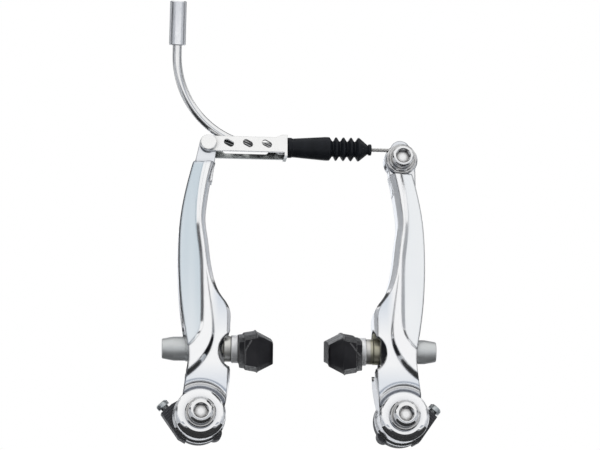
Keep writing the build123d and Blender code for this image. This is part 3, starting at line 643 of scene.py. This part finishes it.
def ring_faces(rings, around, closed):
    """Quads between neighbouring rings of points."""
    faces = []
    for i in range(rings if closed else rings - 1):
        j = (i + 1) % rings
        for k in range(around):
            m = (k + 1) % around
            faces.append((i * around + k, j * around + k, j * around + m, i * around + m))
    return faces


def tube(path, radius, around, points, faces):
    """Adds a round wire along a path to a mesh under way."""
    first = len(points)
    side = None
    for i, here in enumerate(path):
        ahead = (path[min(i + 1, len(path) - 1)] - path[max(i - 1, 0)]).normalized()
        side = side or ahead.orthogonal()
        side = (side - ahead * side.dot(ahead)).normalized()
        up = ahead.cross(side)
        for k in range(around):
            angle = 2 * pi * k / around
            points.append(here + (side * cos(angle) + up * sin(angle)) * radius)
    faces += [tuple(first + v for v in face) for face in ring_faces(len(path), around, False)]
    faces.append(tuple(first + k for k in reversed(range(around))))
    faces.append(tuple(len(points) - around + k for k in range(around)))


# The rubber boot over the noodle's nose. Its outline, as places along it and radii, is written at
# BOOT_DRAWN and stretched to BOOT_LENGTH
BOOT_START = -5.7
BOOT_LENGTH = 34.1
BOOT_DRAWN = 32.5
BOOT_SIDES = 64
BOOT_EASE = 0.35
BOOT_EASE_STEPS = 3
COLLAR = [(0, 4.1), (1.5, 4.1), (1.75, 3.8)]
SLEEVE = [(14.6, 4.8), (16.2, 4.78)]
FOLDS = 4
FOLD_FIRST = 18.75
FOLD_PITCH = 2.9
CREST_R = 4.8
CREST_HALF = 0.22
VALLEY_R = 3.15
VALLEY_FIRST = (17.25, 17.7)
VALLEY_AFTER = (1.25, 1.65)  # a valley's two ends, from the crest before it
LIP = [(31.2, 1.75), (31.35, 2.3), (32.5, 2.3)]
BORE = [(32.5, 0.97), (31.0, 0.97), (28.6, 2.3), (10.5, 2.3), (10.0, 1.82), (0, 1.82)]


def boot_outline():
    """Collar, sleeve, folds, cone with its lip, and back through the bore."""
    outline = COLLAR + SLEEVE + [(place, VALLEY_R) for place in VALLEY_FIRST]
    for i in range(FOLDS):
        crest = FOLD_FIRST + FOLD_PITCH * i
        outline += [(crest - CREST_HALF, CREST_R), (crest + CREST_HALF, CREST_R)]
        if i < FOLDS - 1:
            outline += [(crest + after, VALLEY_R) for after in VALLEY_AFTER]
    return outline + LIP + BORE


def boot():
    scale = BOOT_LENGTH / BOOT_DRAWN
    corners = [(place * scale, radius, 0) for place, radius in boot_outline()]
    profile = eased(corners, BOOT_EASE, BOOT_EASE_STEPS)
    points = []
    for place, radius, _ in profile:
        for k in range(BOOT_SIDES):
            angle = 2 * pi * k / BOOT_SIDES
            y = MID_Y + radius * cos(angle)
            points.append((BOOT_START + place, y, LINK_HEIGHT + radius * sin(angle)))
    faces = ring_faces(len(profile), BOOT_SIDES, True)
    obj = mesh_piece("boot_rubber_bellows", points, faces, "boot_rubber")
    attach(obj, "noodle")
    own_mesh(obj)
    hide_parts("cable_boot")


# The cable: six strands laid round one
CABLE_SPAN = (1.5, 43.5)
CABLE_STEPS = 110
STRANDS_ROUND = 6
STRAND_R = 0.24
STRAND_LAY = 9.0


def cable():
    points = []
    faces = []
    start, end = CABLE_SPAN
    for strand in range(STRANDS_ROUND + 1):
        reach = 2 * STRAND_R if strand else 0.0
        path = []
        for i in range(CABLE_STEPS + 1):
            x = start + (end - start) * i / CABLE_STEPS
            angle = 2 * pi * (x / STRAND_LAY + strand / STRANDS_ROUND)
            path.append(Vector((x, MID_Y + reach * cos(angle), LINK_HEIGHT + reach * sin(angle))))
        tube(path, STRAND_R, FINE_SIDES, points, faces)
    obj = mesh_piece("cable_strands", points, faces, "cable_steel")
    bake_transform(obj)
    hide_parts("inner_cable")


# The return spring: a short tail and two turns in the housing, and a leg up the back of the arm
COIL_R = 7.4
COIL_PITCH = 1.6
COIL_TURNS = 2
COIL_Y = -5.45  # depth of the coil's front end
COIL_STEPS = 48  # for each turn
TAIL_BEHIND = 0.08
TAIL_Z = -2.2
WIRE_R = 0.75
WIRE_SIDES = 12
LEG_Y = -5.588
LEG_BENDS = [(7.4, 8.0), (7.4, 12.0), (0.6, 42.7), (-2.6, 61.3), (0.72, 81.6), (0.72, 90.6)]
LEG_EASE = 5.0
LEG_EASE_STEPS = 8
LEG_PIECE = 4.0  # a straight stretch is cut into pieces of about this length


def spring(side):
    coil_depth = COIL_PITCH * COIL_TURNS
    local = [Vector((COIL_R, COIL_Y + coil_depth + TAIL_BEHIND, TAIL_Z))]
    steps = COIL_STEPS * COIL_TURNS
    for i in range(steps + 1):
        angle = 2 * pi * COIL_TURNS * i / steps
        y = COIL_Y + coil_depth * (1 - i / steps)
        local.append(Vector((COIL_R * cos(angle), y, COIL_R * sin(angle))))
    leg = eased([(x, LEG_Y, z) for x, z in LEG_BENDS], LEG_EASE, LEG_EASE_STEPS, closed=False)
    for start, end in zip(leg, leg[1:]):
        pieces = max(1, round((end - start).length / LEG_PIECE))
        local += [start.lerp(end, i / pieces) for i in range(pieces)]
    local.append(leg[-1])
    path = [at_side(side, point.x, point.y, point.z) for point in local]
    points = []
    faces = []
    tube(path, WIRE_R, WIRE_SIDES, points, faces)
    obj = mesh_piece(side + "_spring_wire", points, faces, "spring_steel")
    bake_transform(obj)
    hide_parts(side + "_return_spring")


# The brake pads: a rubber block on a narrower back, with mould lips along its widest edges
PAD_BACK = {"left": 14.9, "right": 17.1}
PAD_TOE = {"left": 3.0, "right": -4.0}
PAD_TILT = 12.5
PAD_TURN_X = 5.1  # the toe turns about here, midway between the centres of the ball washers
PAD_HEIGHT = 26.4
PAD_HALF = 27.5  # half of its length
PAD_DEPTH = 13.0
PAD_SAG = 0.9
PAD_WIDE_AT = 6.8
PAD_EASE = 0.3
PAD_EASE_STEPS = 2
# Depth from the back and half of the height there, from the back to the friction face
PAD_SIDE = [(0, 5.6), (2.0, 5.9), (2.15, 6.45), (6.5, 7.2), (6.6, 7.5), (7.0, 7.5), (7.15, 7.1), (13, 4.1)]
END_BEVEL = 1.9
END_INSET = {"top": 1.3, "foot": 2.1}
END_SLOPE = 0.5  # the end slopes back towards the friction face
BACK_STEP = 2.1  # the narrower back ends at this depth
BACK_SETBACK = 0.45  # and is this much shorter at each end
GROOVES = (-12, 0, 12)
GROOVE_HALF = 1.0
GROOVE_FLOOR = 10.8
GROOVE_WALL = 0.02  # a groove's wall leans by this much
GROOVE_FLARE = 1.2  # the block is taller at a groove's floor than at its face
BEFORE_GROOVES = -20.0  # the block's curve has one more section here, and one after each groove
AFTER_GROOVE = 6.0
# Mould seams on the end that the camera sees, as depths and heights
SEAMS = {
    "left": [(4.7, 5.1), (2.7, 1.7), (2.35, 0.6), (2.35, -4.0)],
    "right": [(4.6, 5.1), (2.5, 2.3), (0.9, 0.2)],
}
SEAM_R = 0.17
SEAM_EASE = 1.5
SEAM_EASE_STEPS = 4


def on_pad(side, depth, along, height):
    """A point of a pad, from its own depth, length and height, to the assembly."""
    rise = -PAD_SAG * (along / PAD_HALF) ** 2
    level_point = Vector((PAD_BACK[side] + depth, along, rise + height))
    tilted = Matrix.Rotation(radians(PAD_TILT), 3, "X") @ level_point
    centre = Vector((PAD_TURN_X, 0, 0))
    point = centre + Matrix.Rotation(radians(-PAD_TOE[side]), 3, "Z") @ (tilted - centre)
    return at_side(side, point.x, MID_Y + point.y, PAD_HEIGHT + point.z)


def end_setback(depth):
    """How far the end of the pad lies back from its foremost face."""
    return END_SLOPE * max(0.0, depth - PAD_WIDE_AT) + (BACK_SETBACK if depth < BACK_STEP else 0.0)


def pad_ring(side, section, along, shrink, floor):
    """One cross section, drawn in at the ends and cut down at the grooves."""
    ring = []
    far = 1 if along > 0 else -1
    for depth, height, _ in section:
        here = along - far * end_setback(depth) * shrink
        if height > 0:
            height -= END_INSET["top"] * shrink
        else:
            height += END_INSET["foot"] * shrink
        if depth > floor:
            depth, height = floor, GROOVE_FLARE * height
        ring.append(on_pad(side, depth, here, height))
    return ring


def pad_stations():
    """Places along the pad, each with how far it is drawn in and how deep it reaches."""
    stations = [(-PAD_HALF, 1.0, PAD_DEPTH), (-PAD_HALF + END_BEVEL, 0.0, PAD_DEPTH)]
    stations.append((BEFORE_GROOVES, 0.0, PAD_DEPTH))
    for middle in GROOVES:
        start = middle - GROOVE_HALF
        end = middle + GROOVE_HALF
        stations += [(start - GROOVE_WALL, 0.0, PAD_DEPTH), (start, 0.0, GROOVE_FLOOR)]
        stations += [(end, 0.0, GROOVE_FLOOR), (end + GROOVE_WALL, 0.0, PAD_DEPTH)]
        stations.append((middle + AFTER_GROOVE, 0.0, PAD_DEPTH))
    return stations + [(PAD_HALF - END_BEVEL, 0.0, PAD_DEPTH), (PAD_HALF, 1.0, PAD_DEPTH)]


def pad_block(side):
    corners = [(depth, height, 0) for depth, height in PAD_SIDE]
    corners += [(depth, -height, 0) for depth, height in reversed(PAD_SIDE)]
    section = eased(corners, PAD_EASE, PAD_EASE_STEPS)
    count = len(section)
    stations = pad_stations()
    points = []
    for along, shrink, floor in stations:
        points += pad_ring(side, section, along, shrink, floor)
    faces = ring_faces(len(stations), count, False)
    # Quads from its top to its foot close each end
    for first in (0, count * (len(stations) - 1)):
        for k in range(count // 2 - 1):
            faces.append((first + k, first + k + 1, first + count - 2 - k, first + count - 1 - k))
    bends = [(depth, height, 0) for depth, height in SEAMS[side]]
    seam = eased(bends, SEAM_EASE, SEAM_EASE_STEPS, closed=False)
    path = [on_pad(side, depth, end_setback(depth) - PAD_HALF, height) for depth, height, _ in seam]
    tube(path, SEAM_R, FINE_SIDES, points, faces)
    obj = mesh_piece(side + "_pad_block", points, faces, "pad_rubber")
    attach(obj, side + "_arm")
    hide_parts(side + "_pad")


# Fine ribs on the lug of each spring housing, and the thread of its tension screw
LUG_CORNERS = [Vector((-14.8, 1.6)), Vector((-10.7, 5.2)), Vector((-7.9, -8.2))]
LUG_FACE_Y = -6.4
LUG_MID_Y = -3.4
LUG_INSIDE_R = 10.6  # the ribs stop short of the housing's round
RIB_PITCH = 0.95
RIB_R = 0.24
RIB_START = 0.35
RIB_SHORT = 0.1
THREAD_R = 1.45
THREAD_WIRE_R = 0.22
THREAD_PITCH = 0.5
THREAD_SPAN = (0.1, 1.15)
THREAD_STEPS = 80


def housing_ribs(side):
    top, end, foot = LUG_CORNERS
    across = (end - top).normalized()
    down = foot - top
    points = []
    faces = []
    count = int(down.length / RIB_PITCH)
    for i in range(1, count):
        start = top + down * (i / count)
        reach = start.dot(across)
        spare = reach**2 - start.length_squared + LUG_INSIDE_R**2
        if spare <= 0:
            continue
        length = -reach - spare**0.5
        ends = [start + across * RIB_START, start + across * (length - RIB_SHORT)]
        path = [at_side(side, point.x, LUG_FACE_Y, point.y) for point in ends]
        tube(path, RIB_R, FINE_SIDES, points, faces)
    obj = mesh_piece(side + "_housing_ribs", points, faces, "black_plastic")
    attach(obj, "boss_mount")


def screw_thread(side):
    top, end, _ = LUG_CORNERS
    edge = end - top
    out = Vector((-edge.y, 0, edge.x)).normalized()
    across = Vector(Y_AXIS)
    up = out.cross(across)
    root = Vector(((top.x + end.x) / 2, LUG_MID_Y, (top.y + end.y) / 2))
    start, stop = THREAD_SPAN
    path = []
    for i in range(THREAD_STEPS + 1):
        along = start + (stop - start) * i / THREAD_STEPS
        angle = 2 * pi * along / THREAD_PITCH
        point = root + out * along + (across * cos(angle) + up * sin(angle)) * THREAD_R
        path.append(at_side(side, point.x, point.y, point.z))
    points = []
    faces = []
    tube(path, THREAD_WIRE_R, FINE_SIDES, points, faces)
    obj = mesh_piece(side + "_screw_thread", points, faces, "dark_zinc")
    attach(obj, side + "_screw")


boot()
cable()
for side in SIDES:
    spring(side)
    pad_block(side)
    housing_ribs(side)
    screw_thread(side)


# The studio, in metres
WHITE = (1.0, 1.0, 1.0)
SKY_COLOUR = (0.97, 0.985, 1.0)
SKY_STRENGTH = 0.6


def world():
    """A white background for what is seen and mirrored, and a softer white for what is lit."""
    sky = bpy.data.worlds.new("studio")
    sky.use_nodes = True
    tree = sky.node_tree
    path = tree.nodes.new("ShaderNodeLightPath")
    seen = path.outputs["Is Camera Ray"]
    for ray in ("Is Glossy Ray", "Is Transmission Ray"):
        either = tree.nodes.new("ShaderNodeMath")
        either.operation = "MAXIMUM"
        tree.links.new(seen, either.inputs[0])
        tree.links.new(path.outputs[ray], either.inputs[1])
        seen = either.outputs[0]
    lit = tree.nodes["Background"]
    lit.inputs["Color"].default_value = rgba(SKY_COLOUR)
    lit.inputs["Strength"].default_value = SKY_STRENGTH
    white = tree.nodes.new("ShaderNodeBackground")
    white.inputs["Color"].default_value = rgba(WHITE)
    mix = tree.nodes.new("ShaderNodeMixShader")
    tree.links.new(seen, mix.inputs[0])
    tree.links.new(lit.outputs[0], mix.inputs[1])
    tree.links.new(white.outputs[0], mix.inputs[2])
    tree.links.new(mix.outputs[0], tree.nodes["World Output"].inputs[0])
    bpy.context.scene.world = sky


def level(x, y, z):
    """Corners of a level sheet."""
    return [(x[0], y[0], z), (x[1], y[0], z), (x[1], y[1], z), (x[0], y[1], z)]


def upright(x, y, z):
    """Corners of an upright sheet across the view."""
    return [(x[0], y, z[0]), (x[1], y, z[0]), (x[1], y, z[1]), (x[0], y, z[1])]


def flank(x, y, z):
    """Corners of an upright sheet beside the part."""
    return [(x, y[0], z[0]), (x, y[1], z[0]), (x, y[1], z[1]), (x, y[0], z[1])]


def sheet(name, corners, material):
    """A flat stage sheet."""
    data = bpy.data.meshes.new(name)
    data.from_pydata(corners, [], [tuple(range(len(corners)))])
    obj = bpy.data.objects.new(name, data)
    bpy.context.scene.collection.objects.link(obj)
    data.materials.append(material)
    return obj


FLOOR_Z = -0.42
FLOOR_SPAN = (-4.0, 4.0)


def floor():
    coat = Finish("floor_paper", colour=(0.93, 0.93, 0.93), roughness=0.8)
    coat.rough(coat.noise(0.2), low=0.75, high=0.85)
    sheet("floor", level(FLOOR_SPAN, FLOOR_SPAN, FLOOR_Z), coat.material)


# Papers of the studio cards
PAPER_ROUGH = 0.9
PAPER_ROUGHS = (0.85, 0.95)
PAPER_GRAIN = 0.1
PAPER_CAST = (1.0, 1.02, 1.06)  # a grey paper is a little blue
FADE_HEIGHTS = (-0.02, 0.20)
FADE_FOOT = (0.42, 0.45, 0.5)


def grey_paper(name, shade):
    coat = Finish("card_" + name, [shade * share for share in PAPER_CAST], PAPER_ROUGH)
    coat.rough(coat.noise(PAPER_GRAIN), *PAPER_ROUGHS)
    return coat.material


# A card that glows, so that the metal mirrors its light
def glowing_paper(name):
    return Finish("card_" + name, (0.0, 0.0, 0.0), PAPER_ROUGH, sockets={"Emission Strength": 1.0})


def white_paper(name):
    coat = glowing_paper(name)
    coat.put(coat.shader, {"Emission Color": rgba(WHITE)})
    coat.rough(coat.noise(PAPER_GRAIN), *PAPER_ROUGHS)
    return coat.material


def fading_paper(name):
    """White above, and greyer towards its foot."""
    coat = glowing_paper(name)
    height = coat.span(coat.along(Z_AXIS), 0.0, 1.0, *FADE_HEIGHTS)
    coat.put(coat.shader, {"Emission Color": coat.mix(height, rgba(FADE_FOOT), rgba(WHITE))})
    return coat.material


def card(name, corners, paper):
    """A studio card that only reflections see: it shades the metal facing it."""
    obj = sheet("card_" + name, corners, paper)
    obj.visible_camera = False
    obj.visible_diffuse = False
    obj.visible_shadow = False
    obj.visible_transmission = False


def grey_card(name, corners, shade):
    card(name, corners, grey_paper(name, shade))


# Where the cards stand
CARD_FOOT = 0.11  # the dark cards start here; level with the part they are pale, for the sides and back
CARD_SPAN = (-0.6, 0.6)
LOW_Z = -0.25
LOW_DARK = (-0.36, 0.5)
LOW_GREY = (-0.62, -0.36)
BRIGHT_Z = -0.35
BRIGHT_DEEP = (-1.6, -0.63)
WIDE_SPAN = (-1.5, 1.5)
FRONT_Y = -1.6
FRONT_HIGH = (-0.4, 1.2)
SIDE_X = 0.5
SIDE_SHADE = {"left": 0.12, "right": 0.42}
BACK_Y = 0.5
BACK_HIGH = (CARD_FOOT, 0.8)
BACK_LOW = (-0.2, CARD_FOOT)
TOP_Z = 0.75
TOP_DEEP = (0.16, 0.8)


def cards_below():
    grey_card("low", level(CARD_SPAN, LOW_DARK, LOW_Z), shade=0.02)
    grey_card("low_front", level(CARD_SPAN, LOW_GREY, LOW_Z), shade=0.25)
    card("low_bright", level(WIDE_SPAN, BRIGHT_DEEP, BRIGHT_Z), white_paper("low_bright"))


def cards_beside(side):
    """What the flanks and edges of an arm mirror, with a pale card level with the part."""
    x = SIDE_X * SIDES[side]
    grey_card("side_" + side, flank(x, y=(-0.55, -0.12), z=(CARD_FOOT, 0.22)), shade=SIDE_SHADE[side])
    grey_card("edge_" + side, flank(x, y=(-0.12, 0.04), z=(CARD_FOOT, 0.45)), shade=0.08)
    grey_card("rear_" + side, flank(x, y=(0.04, 0.18), z=(CARD_FOOT, 0.17)), shade=0.12)
    grey_card("level_" + side, flank(x, y=(-0.55, 0.25), z=(LOW_Z, CARD_FOOT)), shade=0.6)


def cards_behind():
    grey_card("back_middle", upright(x=(-0.10, 0.10), y=BACK_Y, z=BACK_HIGH), shade=0.9)
    grey_card("back_left", upright(x=(-0.42, -0.10), y=BACK_Y, z=BACK_HIGH), shade=0.05)
    grey_card("back_right", upright(x=(0.10, 0.42), y=BACK_Y, z=BACK_HIGH), shade=0.05)
    grey_card("back_low", upright(x=(-0.42, 0.42), y=BACK_Y, z=BACK_LOW), shade=0.7)
    grey_card("far_left", upright(x=(-3.0, -0.5), y=BACK_Y, z=BACK_HIGH), shade=0.5)
    grey_card("far_right", upright(x=(0.45, 3.0), y=BACK_Y, z=BACK_HIGH), shade=0.55)


def cards():
    cards_below()
    for side in SIDES:
        cards_beside(side)
    card("front", upright(WIDE_SPAN, FRONT_Y, FRONT_HIGH), fading_paper("front"))
    cards_behind()
    grey_card("high", level(CARD_SPAN, TOP_DEEP, TOP_Z), shade=0.06)


def lamp(name, place, size, energy):
    data = bpy.data.lights.new(name, "AREA")
    data.shape = "DISK"
    data.size = size
    data.energy = energy
    obj = bpy.data.objects.new(name, data)
    bpy.context.scene.collection.objects.link(obj)
    obj.visible_glossy = False
    obj.location = place
    obj.rotation_euler = (AIM - Vector(place)).to_track_quat("-Z", "Y").to_euler()


def lamps():
    lamp("key", place=(-0.55, -0.8, 0.75), size=0.5, energy=5.0)
    lamp("fill", place=(0.7, -0.7, 0.35), size=0.6, energy=2.5)
    lamp("top", place=(0.0, 0.1, 1.0), size=0.7, energy=3.0)


def camera():
    azimuth = radians(AZIMUTH)
    elevation = radians(ELEVATION)
    level_out = cos(elevation)
    away = Vector((sin(azimuth) * level_out, -cos(azimuth) * level_out, sin(elevation)))
    data = bpy.data.cameras.new("camera")
    data.sensor_width = SENSOR_WIDTH
    data.lens = FOCAL_PIXELS / PICTURE_WIDTH * SENSOR_WIDTH
    data.clip_start = NEAREST
    obj = bpy.data.objects.new("camera", data)
    bpy.context.scene.collection.objects.link(obj)
    obj.location = AIM + away * DISTANCE
    obj.rotation_euler = (-away).to_track_quat("-Z", "Y").to_euler()
    bpy.context.scene.camera = obj


world()
floor()
cards()
lamps()
camera()
bpy.context.scene.view_settings.view_transform = "Standard"
